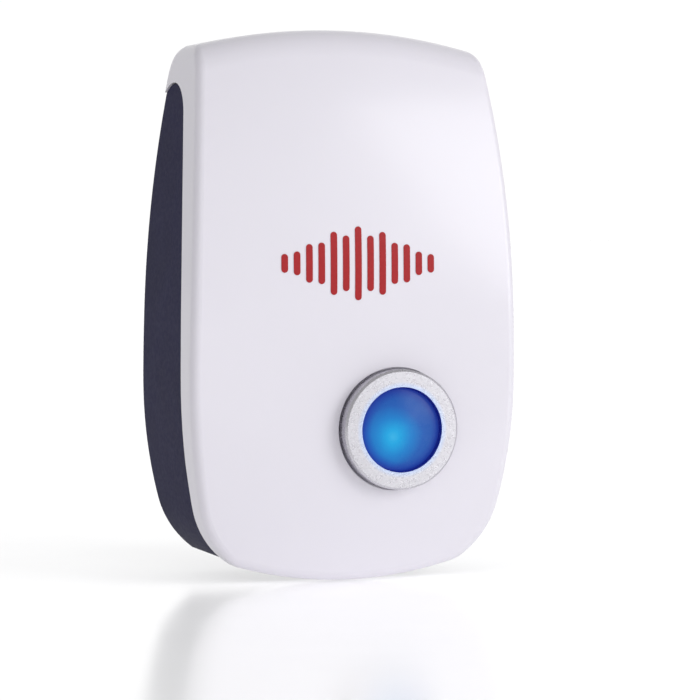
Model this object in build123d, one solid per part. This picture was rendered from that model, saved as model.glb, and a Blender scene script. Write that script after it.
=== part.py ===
from build123d import *
from math import cos, pi, sqrt
import os

# Plug-in ultrasonic pest repeller, in millimetres.
# While it is drawn, z = 0 is the lowest point of the case, y = 0 is the back plane of the case,
# x = 0 is the middle and the front faces -Y. save() then moves each piece, so that the origin is
# the middle of the plug's engagement face, which touches the wall socket.

# Case
CASE_HEIGHT = 92.0
CASE_DEPTH = 30.0
HALF_WIDTH = 28.7
WIDEST_AT = 34.0
TOP_SHOULDER = (25.3, 89.2)
BOTTOM_SHOULDER = (24.2, 4.2)
TOP_INWARD = (-0.92, -0.725)
BOTTOM_INWARD = (-0.82, 0.743)
OUTLINE_TOP = 93.6
OUTLINE_BOTTOM = -0.8
TOP_CORNER = 4.5
BOTTOM_CORNER = 15.0
OUTER_EDGE = 1.5
WALL = 2.0
SEAM_STEP = 0.25
SEAM_GAP = 0.25
FLOOR_HEIGHT = 3.8
CHIN_REAR = -21.5

# The case is crowned like two overlapping discs, one about the top arch and one about the bottom.
TOP_ARCH = 100.0
BOTTOM_ARCH = 69.0
TOP_FRONT = (57.0, 113.0)
TOP_REAR = (59.0, 123.0)
BOTTOM_FRONT = (47.0, 75.0)
BOTTOM_REAR = (48.0, 62.0)
TOP_ROUND = 6.5
BOTTOM_ROUND = 2.2

# Button on the front
BUTTON_X = 7.0
BUTTON_Z = 25.5
RING_RADIUS = 10.0
RING_PROUD = 2.6
RING_SEAT = 1.0
RING_BORE = 7.1
RING_NECK = 9.0
LENS_RADIUS = 6.85
LENS_FLANGE = 8.4
LENS_PROUD = 3.0
LENS_EDGE = 1.2
FLANGE_FRONT = -CASE_DEPTH + 1.6
FLANGE_THICK = 1.2
GUIDE_RADIUS = 10.4
STEM_RADIUS = 1.5
TRAVEL = 0.8

# Circuit board and switch
BOARD_FRONT = -10.0
BOARD_THICK = 1.6
BOARD_WIDTH = 32.0
BOARD_BOTTOM = 21.0
BOARD_TOP = 76.0
BOARD_REAR = BOARD_FRONT + BOARD_THICK
SWITCH_SIDE = 6.0
SWITCH_TALL = 3.5
PLUNGER_RADIUS = 1.75
PLUNGER_PROUD = 1.5
PLUNGER_TIP = BOARD_FRONT - SWITCH_TALL - PLUNGER_PROUD

# Transducer, which faces down over the outlet slots
SOUND_Y = -13.5
SOUND_MOUTH = 7.5
SOUND_RADIUS = 8.0
SOUND_TALL = 12.0
SHELF_Z = 12.5
SHELF_THICK = 2.0
SHELF_HOLE = 8.8

# Plug, to the pattern of the flat two-pin European plug
PLUG_Z = 44.0
PLUG_LENGTH = 16.0
PLUG_WIDTH = 35.3
PLUG_TALL = 13.7
PLUG_FLAT = 26.1
PIN_SPACING = 18.6
PIN_LENGTH = 19.0
PIN_RADIUS = 2.0
PIN_CORE = 1.5
SLEEVE_RADIUS = 1.8
SLEEVE_LENGTH = 10.0
PIN_TIP = 1.0
PIN_TAIL = -5.5

# Fastenings
CASE_SCREWS = [(-20.5, 14.0), (20.5, 14.0), (-20.5, 74.0), (20.5, 74.0)]
BOARD_SCREWS = [(-12.5, 31.5), (12.5, 31.5), (-12.5, 72.5), (12.5, 72.5)]
WELL_END = -9.0
WELL_FLOOR = -7.0
WELL_RADIUS = 4.0
POST_RADIUS = 3.0

PILOT_RADIUS = 1.25
BOARD_POST_RADIUS = 2.6
BOARD_PILOT_RADIUS = 0.9

# Outlet under the case
SLOT_COUNT = 9
SLOT_PITCH = 3.8
SLOT_LENGTH = 7.4
SLOT_WIDTH = 1.9
SLOT_Y = -9.0
MESH_THICK = 0.3

# Printed pulse on the cover
PULSE_SIDE_BARS = 6
PULSE_PITCH = 2.15
PULSE_BAR_WIDTH = 1.15
PULSE_BAR_LEAST = 2.6
PULSE_BAR_SWELL = 9.6
PULSE_HEIGHT = 53.0
INK_THICK = 0.08

DEPTH_AXIS = Axis((0, 0, 0), (0, 1, 0))


def save(name, shape):
    """Write one piece, moved from the drawing position to the plug's frame."""
    export_step(Pos(0, -PLUG_LENGTH, -PLUG_Z) * shape, f"parts/{name}.step")


def save_group(name, solids):
    """Write several like pieces as one node of separate solids."""
    save(name, Compound(children=list(solids)))


def box(x0, x1, y0, y1, z0, z1):
    centre = Pos((x0 + x1) / 2, (y0 + y1) / 2, (z0 + z1) / 2)
    return centre * Box(x1 - x0, y1 - y0, z1 - z0)


def rod_y(radius, x, z, y0, y1):
    """A cylinder along Y."""
    return Pos(x, (y0 + y1) / 2, z) * Rot(90, 0, 0) * Cylinder(radius, abs(y1 - y0))


def rod_x(radius, x0, x1, y, z):
    """A cylinder along X."""
    return Pos((x0 + x1) / 2, y, z) * Rot(0, 90, 0) * Cylinder(radius, abs(x1 - x0))


def rod_z(radius, x, y, z0, z1):
    """A cylinder along Z."""
    return Pos(x, y, (z0 + z1) / 2) * Cylinder(radius, abs(z1 - z0))


def tube_y(outer, inner, x, z, y0, y1):
    """A tube along Y."""
    return rod_y(outer, x, z, y0, y1) - rod_y(inner, x, z, y0 - 1, y1 + 1)


# ---------------------------------------------------------------- case

def moved(point, direction, distance):
    """A point shifted along a direction, for the inset outlines."""
    return point[0] + direction[0] * distance, point[1] + direction[1] * distance


def front_outline(inset):
    """The case seen from the front, drawn in X and Z, shrunk all round by the inset."""
    widest = (HALF_WIDTH - inset, WIDEST_AT)
    top_right = moved(TOP_SHOULDER, TOP_INWARD, inset)
    low_right = moved(BOTTOM_SHOULDER, BOTTOM_INWARD, inset)
    right_high = TangentArc(widest, top_right, tangent=(0, 1))
    right_low = TangentArc(widest, low_right, tangent=(0, -1))
    left_high = mirror(right_high, about=Plane.YZ)
    left_low = mirror(right_low, about=Plane.YZ)
    top = ThreePointArc(top_right, (0, OUTLINE_TOP - inset), (-top_right[0], top_right[1]))
    bottom = ThreePointArc(low_right, (0, OUTLINE_BOTTOM + inset), (-low_right[0], low_right[1]))
    face = make_face([right_high, top, left_high, left_low, bottom, right_low])
    high = face.vertices().filter_by(lambda v: abs(v.Y - top_right[1]) < 0.01)
    face = fillet(high, TOP_CORNER - inset)
    low = face.vertices().filter_by(lambda v: abs(v.Y - low_right[1]) < 0.01)
    return fillet(low, BOTTOM_CORNER - inset)


def fall_back(radius, crown):
    """How far a crowned face has fallen back at a radius, for a crown of (start, bend)."""
    start, bend = crown
    return bend - sqrt(bend**2 - (radius - start) ** 2)


def disc(rim, front_crown, rear_crown, rim_round, inset):
    """A disc about the Y axis with flat middles, crowned faces and a rounded rim."""
    rim = rim - inset
    front = -CASE_DEPTH + inset
    rear = -inset
    front_crown = (front_crown[0], front_crown[1] - inset)
    rear_crown = (rear_crown[0], rear_crown[1] - inset)
    front_half = (front_crown[0] + rim) / 2
    rear_half = (rear_crown[0] + rim) / 2
    front_rim = front + fall_back(rim, front_crown)
    rear_rim = rear - fall_back(rim, rear_crown)
    face = make_face([
        Line((front, 0), (front, front_crown[0])),
        ThreePointArc(
            (front, front_crown[0]),
            (front + fall_back(front_half, front_crown), front_half),
            (front_rim, rim),
        ),
        Line((front_rim, rim), (rear_rim, rim)),
        ThreePointArc(
            (rear_rim, rim),
            (rear - fall_back(rear_half, rear_crown), rear_half),
            (rear, rear_crown[0]),
        ),
        Line((rear, rear_crown[0]), (rear, 0)),
        Line((rear, 0), (front, 0)),
    ])
    rim_points = face.vertices().filter_by(lambda v: abs(v.Y - rim) < 0.01)
    face = fillet(rim_points, max(rim_round - inset, 0.4))
    return revolve(Plane.YZ * face, DEPTH_AXIS, 360)


def case_form(inset, edge=0.0):
    """The whole case as one solid, shrunk all round by the inset, with an optional edge radius."""
    sides = extrude(Plane.XZ * front_outline(inset), amount=CASE_DEPTH * 2, both=True)
    upper = Pos(0, 0, CASE_HEIGHT - TOP_ARCH) * disc(TOP_ARCH, TOP_FRONT, TOP_REAR, TOP_ROUND, inset)
    lower = Pos(0, 0, BOTTOM_ARCH) * disc(BOTTOM_ARCH, BOTTOM_FRONT, BOTTOM_REAR, BOTTOM_ROUND, inset)
    form = (sides & (upper & lower)).solid()
    return round_outline(form, edge) if edge else form


def round_outline(form, radius):
    """Round the edges where the side walls meet the crowned faces."""
    def on_outline(edge):
        size = edge.bounding_box()
        crosses = size.min.X < -5 and size.max.X > 5
        straight_back = edge.geom_type == GeomType.LINE and edge.length > 20
        return not crosses and not straight_back
    return form.fillet(radius, form.edges().filter_by(on_outline))


def behind_seam(gap=0.0, forward=0.0):
    """Everything behind the seam between cover and housing, as a wide prism along X.

    Seen from the side the seam runs along the back under a lip, arches over, falls down the
    side wall and sweeps back under the case.
    """
    bottom = CHIN_REAR + 0.1
    seam = make_face([
        Line((20, 81.4), (-6, 81.4)),
        ThreePointArc((-6, 81.4), (-12, 82.8), (-17.6, 78)),
        ThreePointArc((-17.6, 78), (-21.4, 62), (-23.4, 45)),
        ThreePointArc((-23.4, 45), (-23.9, 32), (-23.6, 20)),
        ThreePointArc((-23.6, 20), (-22.8, 9), (bottom, 2)),
        Line((bottom, 2), (bottom, -20)),
        Line((bottom, -20), (20, -20)),
        Line((20, -20), (20, 81.4)),
    ])
    if gap:
        seam = offset(seam, amount=-gap)
    prism = extrude(Plane.YZ * seam, amount=CASE_DEPTH * 2, both=True)
    return Pos(0, -forward, 0) * prism


def front_cover(rear_zone):
    """The white cover: a shell with four screw posts, the ring's seat and a chin wall."""
    outer = case_form(0, OUTER_EDGE)
    seat = -CASE_DEPTH + RING_SEAT
    outer = outer - rod_y(RING_RADIUS + 0.3, BUTTON_X, BUTTON_Z, -CASE_DEPTH - 1, seat)
    outer = outer - rod_y(RING_NECK + 0.05, BUTTON_X, BUTTON_Z, -CASE_DEPTH - 1, -CASE_DEPTH + 5)
    posts = [rod_y(POST_RADIUS, x, z, -CASE_DEPTH, WELL_END - 0.05) for x, z in CASE_SCREWS]
    chin = box(-40, 40, CHIN_REAR - WALL, CHIN_REAR, -5, FLOOR_HEIGHT - 0.1)
    hollow = case_form(WALL) - [*posts, chin]
    shell = (outer - hollow) - (rear_zone - posts)
    return shell - [rod_y(PILOT_RADIUS, x, z, WELL_END - 13, WELL_END + 1) for x, z in CASE_SCREWS]


def outlet_slots():
    """A row of slots through the floor of the housing, which lets the sound out."""
    slot = extrude(SlotOverall(SLOT_LENGTH, SLOT_WIDTH, rotation=90), amount=WALL * 2, both=True)
    first = -(SLOT_COUNT - 1) / 2
    return [Pos(SLOT_PITCH * (first + i), SLOT_Y, FLOOR_HEIGHT) * slot for i in range(SLOT_COUNT)]


def housing_lip(rear_zone_far):
    """The tongue that the housing slides inside the cover."""
    ring = case_form(WALL + 0.15) - case_form(WALL + 1.2)
    root = Pos(0, 3.0, 0) * rear_zone_far
    lip = (ring & rear_zone_far) - root
    for x, z in CASE_SCREWS:
        lip = lip - rod_y(POST_RADIUS + 0.3, x, z, -CASE_DEPTH, 0)
    above_floor = box(-40, 40, -40, 40, FLOOR_HEIGHT + 1.0, 78)
    return lip & above_floor


def rear_housing(rear_zone):
    """The dark housing: a shell with screw wells, board posts, a shelf and the plug's opening."""
    above_floor = box(-40, 40, -40, 40, FLOOR_HEIGHT, 120)
    above_inside = box(-40, 40, -40, 40, FLOOR_HEIGHT + WALL, 120)
    outer = case_form(SEAM_STEP, OUTER_EDGE) & above_floor
    outer = outer - [rod_y(WELL_RADIUS - 1.0, x, z, WELL_FLOOR, 5) for x, z in CASE_SCREWS]
    outer = outer - [rod_y(1.6, x, z, WELL_END - 1, 5) for x, z in CASE_SCREWS]
    outer = outer - plug_block(0.1, -5, 1)
    shelf = box(-12.5, 12.5, SOUND_Y - 10.5, 0, SHELF_Z, SHELF_Z + SHELF_THICK)
    shelf = shelf - rod_z(SHELF_HOLE, 0, SOUND_Y, SHELF_Z - 1, SHELF_Z + SHELF_THICK + 1)
    wells = [rod_y(WELL_RADIUS, x, z, WELL_END, 1) for x, z in CASE_SCREWS]
    posts = [rod_y(BOARD_POST_RADIUS, x, z, BOARD_REAR, 1) for x, z in BOARD_SCREWS]
    hollow = (case_form(WALL + 0.2) & above_inside) - [shelf, *wells, *posts]
    shell = (outer - hollow) & (rear_zone + shelf)
    shell = shell + housing_lip(behind_seam(forward=1.6))
    shell = shell - [rod_y(BOARD_PILOT_RADIUS, x, z, BOARD_REAR - 1, -2.5) for x, z in BOARD_SCREWS]
    return shell - outlet_slots()


def front_emblem():
    """A printed pulse of upright bars that follows the crown of the cover."""
    count = PULSE_SIDE_BARS
    crown = disc(TOP_ARCH, TOP_FRONT, TOP_REAR, TOP_ROUND, -0.01)
    layer = disc(TOP_ARCH, TOP_FRONT, TOP_REAR, TOP_ROUND, -INK_THICK) - crown
    layer = Pos(0, 0, CASE_HEIGHT - TOP_ARCH) * layer
    bars = []
    for i in range(-count, count + 1):
        swell = cos(pi * i / (2 * count + 2)) ** 2
        beat = 0.72 if i % 2 else 1.0
        height = PULSE_BAR_LEAST + PULSE_BAR_SWELL * swell * beat
        bar = extrude(Plane.XZ * SlotOverall(height, PULSE_BAR_WIDTH, rotation=90), amount=20)
        bars.append((Pos(PULSE_PITCH * i, -CASE_DEPTH + 5, PULSE_HEIGHT) * bar) & layer)
    return bars


# ---------------------------------------------------------------- button

def button_ring():
    """The silver ring round the button, proud of the cover, with a neck into the cover's hole."""
    face_y = -CASE_DEPTH - RING_PROUD
    seat = -CASE_DEPTH + RING_SEAT
    ring = rod_y(RING_RADIUS, BUTTON_X, BUTTON_Z, face_y, seat)
    rim = ring.edges().filter_by(GeomType.CIRCLE).sort_by(Axis.Y)[0]
    ring = ring.chamfer(0.35, None, [rim])
    ring = ring + rod_y(RING_NECK, BUTTON_X, BUTTON_Z, seat - 0.2, -CASE_DEPTH + 1.55)
    return ring - rod_y(RING_BORE, BUTTON_X, BUTTON_Z, face_y - 1, 0)


def button_lens():
    """A domed cap with a flange behind the ring, hollow behind."""
    apex = -CASE_DEPTH - LENS_PROUD
    rim = apex + LENS_EDGE
    flange_rear = FLANGE_FRONT + FLANGE_THICK
    profile = make_face([
        Line((0, flange_rear), (0, apex)),
        ThreePointArc((0, apex), (LENS_RADIUS * 0.55, apex + 0.34), (LENS_RADIUS, rim)),
        Polyline(
            (LENS_RADIUS, rim),
            (LENS_RADIUS, FLANGE_FRONT),
            (LENS_FLANGE, FLANGE_FRONT),
            (LENS_FLANGE, flange_rear),
            (0, flange_rear),
        ),
    ])
    cap = revolve(profile, Axis.Y, 360)
    cap = Pos(BUTTON_X, 0, BUTTON_Z) * cap
    return cap - rod_y(LENS_RADIUS - 1.3, BUTTON_X, BUTTON_Z, rim + 1.0, 0)


def button_carrier():
    """The clear disc behind the lens with the stem that presses the switch."""
    front = FLANGE_FRONT + FLANGE_THICK
    disc_rear = front + 1.0
    carrier = rod_y(LENS_FLANGE - 0.2, BUTTON_X, BUTTON_Z, front, disc_rear)
    carrier = carrier + rod_y(LENS_RADIUS - 1.35, BUTTON_X, BUTTON_Z, front - 1.4, front)
    return carrier + rod_y(STEM_RADIUS, BUTTON_X, BUTTON_Z, disc_rear, PLUNGER_TIP)


def button_guide():
    """The collar behind the cover that keeps the button from falling in."""
    front = -CASE_DEPTH + WALL + 0.6
    shelf = -CASE_DEPTH + 3.8 + TRAVEL + 0.4
    collar = rod_y(GUIDE_RADIUS, BUTTON_X, BUTTON_Z, front, shelf + 1.2)
    collar = collar - rod_y(LENS_FLANGE + 0.3, BUTTON_X, BUTTON_Z, front - 1, shelf)
    return collar - rod_y(7.2, BUTTON_X, BUTTON_Z, shelf - 1, shelf + 3)


def switch_body():
    """The square push switch on the board."""
    rear = BOARD_FRONT
    front = BOARD_FRONT - SWITCH_TALL
    half = SWITCH_SIDE / 2
    block = box(BUTTON_X - half, BUTTON_X + half, front, rear, BUTTON_Z - half, BUTTON_Z + half)
    block = block.fillet(0.4, block.edges().filter_by(Axis.Y))
    return block - rod_y(PLUNGER_RADIUS + 0.2, BUTTON_X, BUTTON_Z, front - 1, rear - 0.8)


def switch_plunger():
    """The switch's round plunger, which the stem pushes."""
    inner = BOARD_FRONT - 0.8 - TRAVEL - 0.1
    return rod_y(PLUNGER_RADIUS, BUTTON_X, BUTTON_Z, PLUNGER_TIP, inner)


def indicator_leds():
    """Two lamps that light the lens from behind, one each side of the switch."""
    leds = []
    for side in (-1, 1):
        x = BUTTON_X + 4.7 * side
        dome = Pos(x, -22.0, BUTTON_Z) * Sphere(1.5)
        body = rod_y(1.5, x, BUTTON_Z, -22.0, -19.0) + dome
        body = body + rod_y(1.8, x, BUTTON_Z, -19.6, -18.6)
        for dx in (-0.9, 0.9):
            body = body + rod_y(0.25, x + dx, BUTTON_Z, -18.8, BOARD_FRONT - 0.02)
        leds.append(body)
    return leds


# ---------------------------------------------------------------- electronics

def main_board():
    """The circuit board with its four screw holes."""
    half = BOARD_WIDTH / 2
    board = box(-half, half, BOARD_FRONT, BOARD_REAR, BOARD_BOTTOM, BOARD_TOP)
    board = board.fillet(2.0, board.edges().filter_by(Axis.Y))
    for x, z in BOARD_SCREWS:
        board = board - rod_y(1.3, x, z, BOARD_FRONT - 1, BOARD_REAR + 1)
    return board


def film_capacitor():
    """The mains filter capacitor, a rounded block."""
    block = box(-15.0, -2.0, -21.5, BOARD_FRONT - 0.3, 62.5, 68.7)
    return block.fillet(0.7, block.edges())


def smoothing_capacitor():
    """The round electrolytic can."""
    can = rod_y(5.0, 7.0, 61.5, -22.5, BOARD_FRONT - 0.3)
    return can.fillet(0.6, can.edges().filter_by(GeomType.CIRCLE))


def transformer():
    """Ferrite core round a bobbin, and the winding on the bobbin, at the left of the board."""
    x0, x1 = -15.0, -2.5
    z0, z1 = 42.0, 54.5
    rear = BOARD_FRONT - 1.2
    front = rear - 10.0
    mid = (z0 + z1) / 2
    core = box(x0, x1, front, rear, z0, z1)
    core = core - box(x0 + 2.2, x1 - 2.2, front - 1, rear + 1, z0 + 2.4, z1 - 2.4)
    core = core + rod_z(1.9, (x0 + x1) / 2, (front + rear) / 2, z0 + 1, z1 - 1)
    winding = rod_z(3.7, (x0 + x1) / 2, (front + rear) / 2, z0 + 3.5, z1 - 3.5)
    winding = winding - rod_z(1.95, (x0 + x1) / 2, (front + rear) / 2, z0, z1)
    foot = box(x0 + 0.6, x1 - 0.6, rear, BOARD_FRONT, mid - 5.0, mid + 5.0)
    return core, winding, foot


def driver_chip():
    """An eight-leg chip with a pin-one dimple."""
    block = box(1.5, 11.0, -13.6, BOARD_FRONT - 0.4, 43.5, 50.0)
    block = block.chamfer(0.5, None, block.faces().sort_by(Axis.Y)[0].edges())
    block = block - rod_y(0.6, 2.9, 46.75, -15, -13.2)
    for i in range(4):
        for z in (42.7, 49.9):
            x = 2.5 + 2.54 * i
            block = block + box(x - 0.3, x + 0.3, -12.2, BOARD_FRONT, z, z + 0.9)
    return block


def axial_part(radius, length, x, z, turn=0):
    """A leaded component lying on the board, with both legs bent down to it."""
    y = BOARD_FRONT - radius - 0.3
    body = rod_x(radius, -length / 2, length / 2, 0, 0)
    body = body.fillet(radius * 0.3, body.edges().filter_by(GeomType.CIRCLE))
    reach = length / 2 + 1.4
    legs = rod_x(0.3, -reach, reach, 0, 0)
    for side in (-1, 1):
        legs = legs + rod_y(0.3, side * reach, 0, -0.3, BOARD_FRONT - y)
    return Pos(x, y, z) * Rot(0, turn, 0) * (body + legs)


def resistors():
    """Three resistors in a column."""
    return [axial_part(1.1, 3.6, 5.0, 33.6 + 2.9 * i) for i in range(3)]


def rectifier_diodes():
    """Four diodes round the incoming mains."""
    spots = [(-4.6, 58.2), (-4.6, 71.6), (4.2, 71.6), (4.2, 68.5)]
    return [axial_part(1.3, 4.4, x, z) for x, z in spots]


def fuse_resistor():
    """The larger resistor that also serves as the fuse."""
    return axial_part(1.9, 6.6, -4.0, 36.6)


def small_transistors():
    """Two transistors with flat-sided round bodies on three legs."""
    found = []
    for x in (4.0, 10.0):
        body = rod_y(2.2, x, 54.0, -16.5, -12.0)
        body = body & box(x - 3, x + 3, -20, -10, 52.7, 57)
        for i in (-1, 0, 1):
            body = body + rod_y(0.25, x + 1.27 * i, 53.8, -12.2, BOARD_FRONT - 0.02)
        found.append(body)
    return found


def ceramic_capacitors():
    """Three round ceramic beads on edge."""
    found = []
    for x, z in ((-11.2, 25.0), (-14.2, 25.0), (14.0, 47.0)):
        bead = Pos(x, -14.5, z) * Rot(0, 90, 0) * Cylinder(2.5, 1.9)
        bead = bead.fillet(0.8, bead.edges().filter_by(GeomType.CIRCLE))
        for dz in (-1.2, 1.2):
            bead = bead + rod_y(0.25, x, z + dz, -13.5, BOARD_FRONT - 0.02)
        found.append(bead)
    return found


# ---------------------------------------------------------------- transducer

def transducer_can():
    """The thin metal can with a lip round its mouth."""
    top = SOUND_MOUTH + SOUND_TALL
    can = rod_z(SOUND_RADIUS, 0, SOUND_Y, SOUND_MOUTH, top)
    can = can.fillet(0.5, can.edges().filter_by(GeomType.CIRCLE).sort_by(Axis.Z)[:1])
    can = can - rod_z(SOUND_RADIUS - 0.5, 0, SOUND_Y, SOUND_MOUTH + 0.5, top + 1)
    return can - rod_z(SOUND_RADIUS - 1.6, 0, SOUND_Y, SOUND_MOUTH - 1, SOUND_MOUTH + 1)


def transducer_mesh():
    """The pierced disc in the can's mouth."""
    low = SOUND_MOUTH + 0.55
    sheet = rod_z(SOUND_RADIUS - 0.6, 0, SOUND_Y, low, low + 0.4)
    pitch = 2.1
    for row in range(-3, 4):
        for column in range(-3, 4):
            x = pitch * (column + 0.5 * (row % 2))
            y = pitch * 0.866 * row
            if sqrt(x**2 + y**2) < 5.9:
                sheet = sheet - rod_z(0.75, x, SOUND_Y + y, low - 1, low + 2)
    return sheet


def transducer_cone():
    """The small cone that radiates the sound."""
    cone = Pos(0, SOUND_Y, 12.2) * Cone(5.2, 1.6, 3.4)
    cone = cone - Pos(0, SOUND_Y, 11.8) * Cone(5.2, 1.2, 3.4)
    return cone


def transducer_disc():
    """The vibrating disc with the stub that holds it to the base."""
    return rod_z(5.0, 0, SOUND_Y, 13.95, 14.5) + rod_z(1.0, 0, SOUND_Y, 14.5, 17.4)


def transducer_base():
    """The base that closes the can."""
    return rod_z(SOUND_RADIUS - 0.6, 0, SOUND_Y, 17.4, 19.3)


def transducer_terminals():
    """Two stubs that the wires are soldered to."""
    return [rod_z(0.6, 3.0 * side, SOUND_Y, 19.3, 22.3) for side in (-1, 1)]


def transducer_seal():
    """A grommet with a groove that sits in the shelf's hole and holds the can."""
    ring = rod_z(10.2, 0, SOUND_Y, 10.7, 16.3) - rod_z(SOUND_RADIUS, 0, SOUND_Y, 5, 20)
    ring = ring.fillet(0.5, ring.edges().filter_by(GeomType.CIRCLE))
    groove = rod_z(12, 0, SOUND_Y, SHELF_Z, SHELF_Z + SHELF_THICK)
    groove = groove - rod_z(SHELF_HOLE, 0, SOUND_Y, 5, 20)
    return ring - groove


def outlet_mesh():
    """A dust screen laid over the outlet slots, inside."""
    low = FLOOR_HEIGHT + WALL
    return box(-16.4, 16.4, -13.2, -5.4, low, low + MESH_THICK)


# ---------------------------------------------------------------- plug

def plug_block(gap, y0, y1):
    """The plug's flat six-sided block with rounded corners."""
    half = PLUG_WIDTH / 2 + gap
    tall = PLUG_TALL / 2 + gap
    flat = PLUG_FLAT / 2
    outline = make_face(Polyline(
        (-half, 0), (-flat, tall), (flat, tall), (half, 0), (flat, -tall), (-flat, -tall), (-half, 0),
    ))
    outline = fillet(outline.vertices(), 3.0)
    block = extrude(Plane.XZ * outline, amount=-(y1 - y0))
    return Pos(0, y0, PLUG_Z) * block


def plug_insert():
    """The plug with a flange inside the housing and a hole for each pin."""
    block = plug_block(0, -WALL - 0.6, PLUG_LENGTH)
    front = block.faces().sort_by(Axis.Y)[-1]
    block = block.fillet(0.8, front.edges())
    flange = box(-19.0, 19.0, -4.4, -WALL - 0.35, PLUG_Z - 8.4, PLUG_Z + 8.4)
    flange = flange.fillet(2.0, flange.edges().filter_by(Axis.Y))
    block = block + flange
    for side in (-1, 1):
        x = side * PIN_SPACING / 2
        block = block - rod_y(PIN_CORE, x, PLUG_Z, -10, PLUG_LENGTH + 1)
        block = block - rod_y(SLEEVE_RADIUS, x, PLUG_Z, PLUG_LENGTH - 3, PLUG_LENGTH + 1)
    return block


def plug_pin(side):
    """A bare round end and a thinner core that runs through the sleeve and the plug."""
    x = side * PIN_SPACING / 2
    shoulder = PLUG_LENGTH + SLEEVE_LENGTH
    tip = PLUG_LENGTH + PIN_LENGTH
    bare = rod_y(PIN_RADIUS, x, PLUG_Z, shoulder, tip)
    end = bare.edges().filter_by(GeomType.CIRCLE).sort_by(Axis.Y)[-1]
    bare = bare.fillet(PIN_TIP, [end])
    return bare + rod_y(PIN_CORE, x, PLUG_Z, PIN_TAIL, shoulder)


def pin_sleeve(side):
    """The insulating sleeve on the pin's root."""
    x = side * PIN_SPACING / 2
    end = PLUG_LENGTH + SLEEVE_LENGTH
    return tube_y(SLEEVE_RADIUS, PIN_CORE, x, PLUG_Z, PLUG_LENGTH - 3, end)


def solder_tags():
    """A flat tag round the tail of each pin."""
    tags = []
    for side in (-1, 1):
        x = side * PIN_SPACING / 2
        tag = box(x - 2.2, x + 2.2, -5.3, -4.5, PLUG_Z - 2.2, PLUG_Z + 4.4)
        tags.append(tag - rod_y(PIN_CORE + 0.02, x, PLUG_Z, -8, 0))
    return tags


# ---------------------------------------------------------------- wires, screws, label

def wire(radius, corner, *points):
    """A round wire through the points, with every corner rounded."""
    path = FilletPolyline(*points, radius=corner)
    start = Plane(origin=path @ 0, z_dir=path % 0)
    return sweep(start * Circle(radius), path=path)


def mains_wire(side):
    """From a solder tag up over the plug and down to the board's back."""
    x = side * PIN_SPACING / 2
    y = -6.0
    return wire(
        0.65, 1.2,
        (x, y, PLUG_Z + 3.0),
        (x, y, PLUG_Z + 8.0),
        (side * 13.5, y, PLUG_Z + 12.0),
        (side * 13.5, y, PLUG_Z + 15.0),
        (side * 13.5, BOARD_REAR + 0.02, PLUG_Z + 15.0),
    )


def transducer_wire(side):
    """From a transducer terminal up to the board's front."""
    return wire(
        0.5, 1.2,
        (3.0 * side, SOUND_Y, 22.3),
        (3.0 * side, SOUND_Y, 23.2),
        (-6.0 + 2.0 * side, SOUND_Y, 27.0),
        (-6.0 + 2.0 * side, BOARD_FRONT - 0.02, 27.0),
    )


def case_screw(x, z):
    """A cross-head screw in one of the housing's wells."""
    head = rod_y(2.6, x, z, WELL_FLOOR, WELL_FLOOR + 1.9)
    top = head.edges().filter_by(GeomType.CIRCLE).sort_by(Axis.Y)[-1]
    head = head.fillet(0.7, [top])
    slot_y = WELL_FLOOR + 1.9
    for turn in (0, 90):
        cut = Pos(x, slot_y, z) * Rot(0, turn, 0) * Box(2.8, 1.8, 0.6)
        head = head - cut
    return head + rod_y(1.2, x, z, WELL_END - 9, WELL_FLOOR)


def board_screw(x, z):
    """A small cross-head screw that holds the board to its post."""
    head = rod_y(1.9, x, z, BOARD_FRONT - 1.3, BOARD_FRONT)
    top = head.edges().filter_by(GeomType.CIRCLE).sort_by(Axis.Y)[0]
    head = head.fillet(0.5, [top])
    for turn in (0, 90):
        head = head - Pos(x, BOARD_FRONT - 1.3, z) * Rot(0, turn, 0) * Box(2.0, 1.2, 0.5)
    return head + rod_y(0.85, x, z, BOARD_FRONT, -3.6)


def rating_label():
    """A blank label on the back, under the plug."""
    return box(-14, 14, -SEAM_STEP, -SEAM_STEP + 0.15, 17.5, 30.5)


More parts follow.
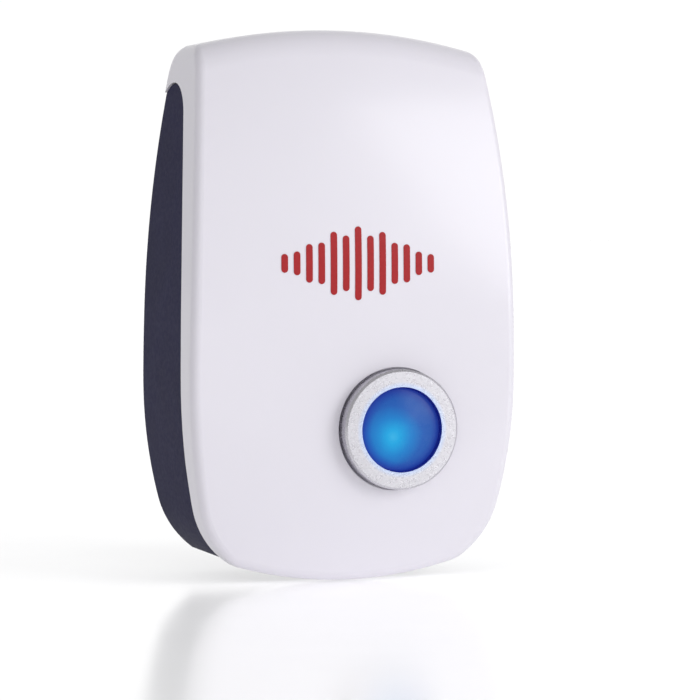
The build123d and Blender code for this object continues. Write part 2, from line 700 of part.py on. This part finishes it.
def main():
    os.makedirs("parts", exist_ok=True)
    save("front_cover", front_cover(behind_seam()))
    save("rear_housing", rear_housing(behind_seam(gap=SEAM_GAP)))
    save_group("front_emblem", front_emblem())

    save("button_ring", button_ring())
    save("button_lens", button_lens())
    save("button_carrier", button_carrier())
    save("button_guide", button_guide())
    save("switch_body", switch_body())
    save("switch_plunger", switch_plunger())
    save_group("indicator_leds", indicator_leds())

    save("main_board", main_board())
    save("film_capacitor", film_capacitor())
    save("smoothing_capacitor", smoothing_capacitor())
    core, winding, foot = transformer()
    save("transformer_core", core)
    save("transformer_winding", winding)
    save("transformer_foot", foot)
    save("driver_chip", driver_chip())
    save_group("resistors", resistors())
    save_group("rectifier_diodes", rectifier_diodes())
    save("fuse_resistor", fuse_resistor())
    save_group("small_transistors", small_transistors())
    save_group("ceramic_capacitors", ceramic_capacitors())

    save("transducer_can", transducer_can())
    save("transducer_mesh", transducer_mesh())
    save("transducer_cone", transducer_cone())
    save("transducer_disc", transducer_disc())
    save("transducer_base", transducer_base())
    save_group("transducer_terminals", transducer_terminals())
    save("transducer_seal", transducer_seal())
    save("outlet_mesh", outlet_mesh())

    save("plug_insert", plug_insert())
    save("plug_pin_left", plug_pin(-1))
    save("plug_pin_right", plug_pin(1))
    save("pin_sleeve_left", pin_sleeve(-1))
    save("pin_sleeve_right", pin_sleeve(1))
    save_group("solder_tags", solder_tags())
    save("mains_wire_left", mains_wire(-1))
    save("mains_wire_right", mains_wire(1))
    save("transducer_wire_left", transducer_wire(-1))
    save("transducer_wire_right", transducer_wire(1))
    save_group("case_screws", [case_screw(x, z) for x, z in CASE_SCREWS])
    save_group("board_screws", [board_screw(x, z) for x, z in BOARD_SCREWS])
    save("rating_label", rating_label())


main()
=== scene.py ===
import math

import bpy
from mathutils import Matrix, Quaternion, Vector


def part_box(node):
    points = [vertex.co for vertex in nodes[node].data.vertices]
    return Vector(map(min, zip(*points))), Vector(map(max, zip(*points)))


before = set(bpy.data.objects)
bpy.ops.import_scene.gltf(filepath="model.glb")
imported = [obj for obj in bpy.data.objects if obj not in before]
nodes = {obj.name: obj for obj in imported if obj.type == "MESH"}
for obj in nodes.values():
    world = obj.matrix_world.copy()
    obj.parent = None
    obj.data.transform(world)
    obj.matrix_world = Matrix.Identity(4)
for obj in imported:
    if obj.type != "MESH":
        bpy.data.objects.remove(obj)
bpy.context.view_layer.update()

# Camera: angles in degrees, places in metres, lens in millimetres, shift as a share of the frame
AZIMUTH = -20.2
ELEVATION = 2.21
ROLL = 0.44
AIM = (0.0, -0.031, 0.0)
DISTANCE = 0.5
LENS = 151.24
SHIFT = (0.0331, -0.051)
CLIP = (0.01, 20.0)

# Light: the room's brightness by how nearly a direction lies along the camera's level axis,
# and one lamp, with its place and side in metres and its power in watts
SIDE_LEVEL = 0.5
AXIS_LEVEL = 1.02
SIDE_ENDS = 0.66
AXIS_STARTS = 0.95
KEY_OFFSET = (0.55, -0.60, 0.25)
KEY_SIDE = 0.5
KEY_POWER = 3.1
WHITE = (1.0, 1.0, 1.0, 1.0)

# Floor: half its side and its drop below the part in metres, and the strength of its glow
FLOOR_HALF = 4.0
FLOOR_DROP = 0.0003
FLOOR_GLOW = 0.26

# Button, in metres: the ring's inner edge with the lens's blue glow painted on it, the lens, and the
# lamps behind it, where the glow painted on the lens is brightest
BLUE_GLOW_FULL = 0.0070
BLUE_GLOW_GONE = 0.0080
LENS_REACH = 0.0069
GLOW_REACH = 0.0085
GLOW_WOBBLE = 0.0006
LAMPS_LEFT = 0.0017
LAMPS_BELOW = 0.0012

# Degrees between faces past which an edge stays crisp
CRISP_ANGLE = 30


# ---------------------------------------------------------------- materials

class Surface:
    """A node material with object coordinates in metres, built a few nodes at a time."""

    def __init__(self, name, color, roughness, metallic=0.0):
        self.material = bpy.data.materials.new(name)
        self.material.use_nodes = True
        self.tree = self.material.node_tree
        self.shader = self.tree.nodes["Principled BSDF"]
        self.place = self.tree.nodes.new("ShaderNodeTexCoord").outputs["Object"]
        self.set("Base Color", (*color, 1.0))
        self.set("Roughness", roughness)
        self.set("Metallic", metallic)
        self.color = color
        self.height = None

    def set(self, socket, value):
        """Give one of the shader's sockets a plain value."""
        self.shader.inputs[socket].default_value = value

    def link(self, value, socket):
        """Feed one of the shader's sockets."""
        self.tree.links.new(value, self.shader.inputs[socket])

    def node(self, kind, **inputs):
        """A new node, with its inputs linked or set by name, an underscore for each space."""
        made = self.tree.nodes.new(kind)
        for key, value in inputs.items():
            socket = made.inputs[key.replace("_", " ")]
            if isinstance(value, bpy.types.NodeSocket):
                self.tree.links.new(value, socket)
            else:
                socket.default_value = value
        return made

    def noise(self, per_metre, detail=3.0, stretch=(1, 1, 1)):
        """Noise with so many cells to the metre."""
        place = self.place
        if stretch != (1, 1, 1):
            mapping = self.node("ShaderNodeMapping", Vector=place)
            mapping.inputs["Scale"].default_value = stretch
            place = mapping.outputs["Vector"]
        found = self.node("ShaderNodeTexNoise", Vector=place, Scale=per_metre, Detail=detail)
        return found.outputs["Fac"]

    def ramp(self, value, low, high, start=0.0, end=1.0):
        """A value that runs from low to high as another goes from start to end."""
        found = self.node(
            "ShaderNodeMapRange", Value=value, From_Min=start, From_Max=end, To_Min=low, To_Max=high)
        return found.outputs["Result"]

    def mix(self, factor, first, second, blend="MIX"):
        """Two colours mixed, each of them and the factor a socket or a plain value."""
        found = self.tree.nodes.new("ShaderNodeMix")
        found.data_type = "RGBA"
        found.blend_type = blend
        colors = [i for i in found.inputs if i.type == "RGBA"]
        for socket, value in ((found.inputs[0], factor), (colors[0], first), (colors[1], second)):
            if isinstance(value, bpy.types.NodeSocket):
                self.tree.links.new(value, socket)
            else:
                socket.default_value = value
        return [o for o in found.outputs if o.type == "RGBA"][0]

    def tint(self, value, other, start=0.3, end=0.7):
        """The base colour runs to another as the value goes from start to end."""
        share = self.ramp(value, 0, 1, start, end)
        self.link(self.mix(share, (*self.color, 1.0), (*other, 1.0)), "Base Color")

    def gloss(self, value, low, high, start=0.3, end=0.7):
        """The roughness runs from low to high as the value goes from start to end."""
        self.link(self.ramp(value, low, high, start, end), "Roughness")

    def bump(self, value, depth):
        """Bumps of a depth in metres, stacked if called again."""
        found = self.node("ShaderNodeBump", Height=value, Distance=depth, Strength=1.0)
        if self.height is not None:
            self.tree.links.new(self.height, found.inputs["Normal"])
        self.height = found.outputs["Normal"]
        self.link(self.height, "Normal")


def distance_from(s, x, z):
    """Distance in metres from the line along Y through (x, z), to shade rings and spots."""
    offset = s.node("ShaderNodeVectorMath", Vector=s.place)
    offset.operation = "SUBTRACT"
    offset.inputs[1].default_value = (x, 0.0, z)
    flat = s.node("ShaderNodeVectorMath", Vector=offset.outputs["Vector"])
    flat.operation = "MULTIPLY"
    flat.inputs[1].default_value = (1.0, 0.0, 1.0)
    reach = s.node("ShaderNodeVectorMath", Vector=flat.outputs["Vector"])
    reach.operation = "LENGTH"
    return reach.outputs["Value"]


def color_steps(s, value, reach, steps):
    """A colour that goes through steps, each at a share of a reach in metres."""
    found = s.tree.nodes.new("ShaderNodeValToRGB")
    stops = found.color_ramp.elements
    stops[0].position, stops[1].position = 0.0, 1.0
    stops[0].color = (*steps[0][1], 1)
    stops[1].color = (*steps[-1][1], 1)
    for share, color in steps[1:-1]:
        stops.new(share).color = (*color, 1)
    s.tree.links.new(s.ramp(value, 0, 1, 0.0, reach), found.inputs["Fac"])
    return found.outputs["Color"]


def paint(material, *names):
    """Give CAD nodes one material."""
    for name in names:
        node = nodes[name]
        node.data.materials.clear()
        node.data.materials.append(material)


def middle_of(name):
    """The middle of a CAD node's box."""
    low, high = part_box(name)
    return (Vector(low) + Vector(high)) / 2


def white_shell():
    """Glossy moulded white plastic with a cool cast, faint waviness and a very fine grain."""
    s = Surface("white_shell", (0.765, 0.742, 0.81), 0.28)
    s.tint(s.noise(40, 2), (0.775, 0.752, 0.82))
    s.gloss(s.noise(1400, 2), 0.28, 0.30)
    s.bump(s.noise(45, 1), 0.00002)
    s.bump(s.noise(2500, 1), 0.0000002)
    s.set("Coat Weight", 0.25)
    s.set("Coat Roughness", 0.12)
    s.set("Subsurface Weight", 0.06)
    s.set("Subsurface Radius", (0.002, 0.002, 0.0024))
    return s.material


def navy_shell():
    """Dark navy satin plastic with a fine eroded mould grain."""
    s = Surface("navy_shell", (0.010, 0.009, 0.044), 0.46)
    s.tint(s.noise(90, 3), (0.013, 0.012, 0.054))
    s.gloss(s.noise(1500, 3), 0.42, 0.50)
    s.bump(s.noise(3600, 3), 0.0000015)
    s.set("Specular IOR Level", 0.04)
    return s.material


def silver_ring():
    """Satin silver with fine sparkle grain, and a painted blue glow from the lens on its inner edge.
    """
    s = Surface("silver_ring", (0.62, 0.61, 0.65), 0.3, 1.0)
    s.tint(s.noise(3400, 4), (0.56, 0.55, 0.59), 0.35, 0.7)
    s.gloss(s.noise(2400, 3), 0.24, 0.36)
    s.bump(s.noise(3400, 2), 0.000002)
    middle = middle_of("button_ring")
    from_axis = distance_from(s, middle.x, middle.z)
    # Painted glow: the ring's inner edge is tinted with the lens's blue light, fading out away from
    # the button's axis.
    painted_lens_glow = s.ramp(from_axis, 0.6, 0.0, BLUE_GLOW_FULL, BLUE_GLOW_GONE)
    base = s.shader.inputs["Base Color"].links[0].from_socket
    s.link(s.mix(painted_lens_glow, base, (0.42, 0.60, 0.95, 1)), "Base Color")
    return s.material


def plastic(name, color, roughness, grain=2500, coat=0.0):
    """Moulded or dipped plastic with soft blotches and a fine grain."""
    s = Surface(name, color, roughness)
    s.tint(s.noise(grain / 8, 3), tuple(c * 0.78 for c in color))
    s.gloss(s.noise(grain / 2, 3), roughness * 0.8, roughness * 1.25)
    s.bump(s.noise(grain, 3), 0.000006)
    s.set("Coat Weight", coat)
    return s.material


def metal(name, color, roughness, stretch=(1, 1, 1), grain=2500):
    """Metal with a drawn or cast grain."""
    s = Surface(name, color, roughness, 1.0)
    s.tint(s.noise(grain / 5, 3, stretch), tuple(c * 0.82 for c in color))
    s.gloss(s.noise(grain, 3, stretch), roughness * 0.75, roughness * 1.35)
    s.bump(s.noise(grain, 3, stretch), 0.000004)
    return s.material


def lens_blue():
    """Blue translucent cap whose light, from lamps a little below and left of its middle, is painted
    on as emission.
    """
    middle = middle_of("button_lens")
    s = Surface("lens_blue", (0.003, 0.014, 0.075), 0.3)
    wobble = s.ramp(s.noise(260, 2), -GLOW_WOBBLE, GLOW_WOBBLE)
    from_lamps = distance_from(s, middle.x - LAMPS_LEFT, middle.z - LAMPS_BELOW)
    uneven = s.node("ShaderNodeMath")
    uneven.operation = "ADD"
    s.tree.links.new(from_lamps, uneven.inputs[0])
    s.tree.links.new(wobble, uneven.inputs[1])
    # Painted glow: emission brightest a little below and left of the middle, fading unevenly
    # outward.
    glow = color_steps(s, uneven.outputs["Value"], GLOW_REACH, (
        (0.0, (0.040, 0.44, 0.72)),
        (0.13, (0.012, 0.37, 0.68)),
        (0.38, (0.010, 0.20, 0.52)),
        (0.62, (0.012, 0.095, 0.37)),
        (1.0, (0.010, 0.060, 0.29)),
    ))
    # Painted shade on the glow: darker and more purple towards the lens's outer edge.
    painted_edge_shade = color_steps(s, distance_from(s, middle.x, middle.z), LENS_REACH, (
        (0.0, (1.0, 1.0, 1.0)),
        (0.76, (1.0, 1.0, 1.0)),
        (0.92, (0.80, 0.50, 0.85)),
        (1.0, (0.60, 0.20, 0.62)),
    ))
    s.link(s.mix(1.0, glow, painted_edge_shade, "MULTIPLY"), "Emission Color")
    s.set("Emission Strength", 1.0)
    s.gloss(s.noise(700, 2), 0.24, 0.34)
    s.bump(s.noise(1500, 2), 0.000003)
    s.set("Specular IOR Level", 0.16)
    return s.material


def red_ink():
    """Printed ink, slightly uneven."""
    s = Surface("red_ink", (0.40, 0.008, 0.012), 0.4)
    s.tint(s.noise(1800, 3), (0.35, 0.006, 0.010))
    s.set("Specular IOR Level", 0.3)
    s.bump(s.noise(6500, 3), 0.000005)
    return s.material


def board_green():
    """Green solder mask with the faint relief of tracks under it."""
    s = Surface("board_green", (0.012, 0.13, 0.045), 0.34)
    tracks = s.node("ShaderNodeTexBrick", Vector=s.place, Scale=160.0)
    tracks.inputs["Mortar Size"].default_value = 0.03
    s.tint(tracks.outputs["Fac"], (0.03, 0.20, 0.07), 0.0, 1.0)
    s.bump(tracks.outputs["Fac"], 0.00003)
    s.set("Coat Weight", 0.4)
    return s.material


def winding_copper():
    """Enamelled copper wire laid in turns."""
    s = Surface("winding_copper", (0.42, 0.15, 0.05), 0.28, 1.0)
    turns = s.node("ShaderNodeTexWave", Vector=s.place, Scale=900.0)
    turns.bands_direction = "Z"
    s.tint(turns.outputs["Fac"], (0.22, 0.07, 0.02), 0.1, 0.9)
    s.bump(turns.outputs["Fac"], 0.00005)
    return s.material


def screen_cloth():
    """Woven dust screen."""
    s = Surface("screen_cloth", (0.02, 0.02, 0.022), 0.8)
    weave = s.node("ShaderNodeTexChecker", Vector=s.place, Scale=2500.0)
    s.tint(weave.outputs["Fac"], (0.06, 0.06, 0.065), 0.0, 1.0)
    s.bump(weave.outputs["Fac"], 0.00003)
    return s.material


def paint_everything():
    """Every CAD node gets its material."""
    paint(white_shell(), "front_cover")
    paint(navy_shell(), "rear_housing", "plug_insert")
    paint(silver_ring(), "button_ring")
    paint(lens_blue(), "button_lens")
    paint(red_ink(), "front_emblem")
    paint(plastic("clear_plastic", (0.62, 0.70, 0.82), 0.3), "button_carrier")
    paint(plastic("white_nylon", (0.70, 0.70, 0.67), 0.5), "button_guide", "switch_plunger")
    black = plastic("black_moulding", (0.016, 0.016, 0.018), 0.5)
    paint(black, "switch_body", "transformer_foot", "driver_chip", "small_transistors")
    paint(black, "rectifier_diodes", "transducer_base", "pin_sleeve_left", "pin_sleeve_right")
    paint(plastic("led_blue", (0.06, 0.16, 0.75), 0.15, coat=0.5), "indicator_leds")
    paint(board_green(), "main_board")
    paint(plastic("film_yellow", (0.62, 0.38, 0.02), 0.3, coat=0.3), "film_capacitor")
    paint(plastic("can_black", (0.014, 0.014, 0.02), 0.25, coat=0.4), "smoothing_capacitor")
    paint(plastic("ferrite", (0.05, 0.05, 0.052), 0.7, 1800), "transformer_core")
    paint(winding_copper(), "transformer_winding")
    paint(plastic("resistor_tan", (0.42, 0.28, 0.14), 0.45), "resistors")
    paint(plastic("fuse_grey", (0.20, 0.30, 0.26), 0.5), "fuse_resistor")
    paint(plastic("disc_blue", (0.03, 0.11, 0.30), 0.35), "ceramic_capacitors")
    paint(metal("can_silver", (0.70, 0.71, 0.72), 0.3, (1, 1, 0.1)), "transducer_can")
    paint(metal("mesh_steel", (0.40, 0.40, 0.41), 0.35), "transducer_mesh")
    paint(metal("cone_alloy", (0.60, 0.60, 0.58), 0.45), "transducer_cone")
    paint(metal("piezo_brass", (0.72, 0.53, 0.22), 0.35), "transducer_disc")
    tag = metal("tag_brass", (0.76, 0.58, 0.26), 0.3)
    paint(tag, "transducer_terminals", "solder_tags")
    paint(plastic("seal_rubber", (0.02, 0.02, 0.02), 0.75, 1500), "transducer_seal")
    paint(screen_cloth(), "outlet_mesh")
    pin = metal("nickel_pin", (0.74, 0.72, 0.68), 0.18, (1, 0.08, 1))
    paint(pin, "plug_pin_left", "plug_pin_right")
    steel = metal("screw_steel", (0.50, 0.50, 0.52), 0.3, (1, 0.2, 1))
    paint(steel, "case_screws", "board_screws")
    paint(plastic("wire_brown", (0.11, 0.035, 0.012), 0.4), "mains_wire_left")
    paint(plastic("wire_blue", (0.02, 0.07, 0.32), 0.4), "mains_wire_right")
    paint(plastic("wire_red", (0.40, 0.012, 0.012), 0.4), "transducer_wire_left")
    paint(plastic("wire_black", (0.015, 0.015, 0.015), 0.4), "transducer_wire_right")
    paint(plastic("label_silver", (0.62, 0.62, 0.63), 0.35, 900), "rating_label")


def smooth_cad():
    """Rounded CAD faces shade smoothly, and sharper edges stay crisp."""
    for node in nodes.values():
        for face in node.data.polygons:
            face.use_smooth = True
        mod = node.modifiers.new("edge_split", "EDGE_SPLIT")
        mod.split_angle = math.radians(CRISP_ANGLE)


# ---------------------------------------------------------------- stage

def key_light(aim):
    """A square lamp in front, to the right and above."""
    data = bpy.data.lights.new("key_right", "AREA")
    data.shape = "RECTANGLE"
    data.size = KEY_SIDE
    data.size_y = KEY_SIDE
    data.energy = KEY_POWER
    place = aim + Vector(KEY_OFFSET)
    lamp = bpy.data.objects.new("key_right", data)
    lamp.location = place
    lamp.rotation_euler = (aim - place).to_track_quat("-Z", "Y").to_euler()
    bpy.context.scene.collection.objects.link(lamp)


def floor(height):
    """A glossy pale table with a faint glow of its own, which runs out of sight."""
    mesh = bpy.data.meshes.new("studio_floor")
    around = ((-1, -1), (1, -1), (1, 1), (-1, 1))
    corners = [(x * FLOOR_HALF, y * FLOOR_HALF, height) for x, y in around]
    mesh.from_pydata(corners, [], [(0, 1, 2, 3)])
    table = bpy.data.objects.new("studio_floor", mesh)
    bpy.context.scene.collection.objects.link(table)
    s = Surface("studio_floor", (0.93, 0.93, 0.935), 0.16)
    s.gloss(s.noise(30, 2), 0.14, 0.19)
    s.set("Specular IOR Level", 0.3)
    s.set("Emission Color", WHITE)
    s.set("Emission Strength", FLOOR_GLOW)
    mesh.materials.append(s.material)


def room():
    """A white room, brightest in front of and behind the part and dimmer at its sides and above."""
    world = bpy.data.worlds.new("studio_world")
    world.use_nodes = True
    tree = world.node_tree
    background = tree.nodes["Background"]
    along = tree.nodes.new("ShaderNodeVectorMath")
    along.operation = "DOT_PRODUCT"
    turned = math.radians(AZIMUTH)
    along.inputs[1].default_value = (math.sin(turned), -math.cos(turned), 0.0)
    size = tree.nodes.new("ShaderNodeMath")
    size.operation = "ABSOLUTE"
    level = tree.nodes.new("ShaderNodeMapRange")
    level.inputs["From Min"].default_value = SIDE_ENDS
    level.inputs["From Max"].default_value = AXIS_STARTS
    level.inputs["To Min"].default_value = SIDE_LEVEL
    level.inputs["To Max"].default_value = AXIS_LEVEL
    place = tree.nodes.new("ShaderNodeTexCoord").outputs["Generated"]
    tree.links.new(place, along.inputs[0])
    tree.links.new(along.outputs["Value"], size.inputs[0])
    tree.links.new(size.outputs["Value"], level.inputs["Value"])
    tree.links.new(level.outputs["Result"], background.inputs["Strength"])
    background.inputs["Color"].default_value = WHITE
    bpy.context.scene.world = world


def camera(aim):
    """The camera, turned and tilted about the point that it looks at."""
    data = bpy.data.cameras.new("photo_camera")
    data.lens = LENS
    data.shift_x, data.shift_y = SHIFT
    data.clip_start, data.clip_end = CLIP
    a = math.radians(AZIMUTH)
    e = math.radians(ELEVATION)
    back = Vector((math.sin(a) * math.cos(e), -math.cos(a) * math.cos(e), math.sin(e)))
    view = bpy.data.objects.new("photo_camera", data)
    view.location = aim + back * DISTANCE
    view.rotation_mode = "QUATERNION"
    turn = Quaternion((0, 0, 1), math.radians(ROLL))
    view.rotation_quaternion = (-back).to_track_quat("-Z", "Y") @ turn
    bpy.context.scene.collection.objects.link(view)
    bpy.context.scene.camera = view


bpy.context.scene.view_settings.view_transform = "Standard"
paint_everything()
smooth_cad()
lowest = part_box("front_cover")[0]
floor(lowest[2] - FLOOR_DROP)
room()
key_light(Vector(AIM))
camera(Vector(AIM))
